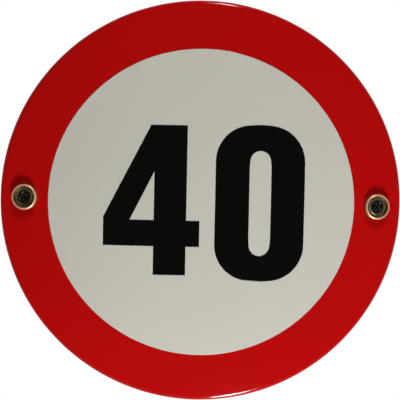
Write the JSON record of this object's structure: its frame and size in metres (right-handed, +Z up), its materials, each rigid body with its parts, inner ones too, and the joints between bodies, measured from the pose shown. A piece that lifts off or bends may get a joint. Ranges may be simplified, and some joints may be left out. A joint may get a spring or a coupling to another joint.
{
  "type": "speed limit sign",
  "caption": "Round domed enamel speed limit sign with a red border and black numerals, fixed to a wall by screws in brass screw cups.",
  "frame": {"origin": "the middle of the disc on the wall: the centre of the ring on which the rim's back edge rests", "axes": "+Y points into the wall, so the front faces -Y; +Z is up as the number is read; +X is to the right as the number is read"},
  "size_m": [0.2, 0.0369, 0.2],
  "materials": {
    "white_enamel": "glossy vitreous enamel, pale grey-white",
    "red_enamel": "glossy vitreous enamel, signal red",
    "black_enamel": "glossy vitreous enamel, black",
    "brass": "pressed brass, dulled in the hollow and bright on the crest",
    "dark_steel": "darkened steel, dull"
  },
  "bodies": {
    "root": {"sign_plate": "red_enamel", "white_field": "white_enamel", "numeral_4": "black_enamel", "numeral_0": "black_enamel", "left_screw_cup": "brass", "right_screw_cup": "brass", "left_screw": "dark_steel", "right_screw": "dark_steel"}
  },
  "joints": []
}
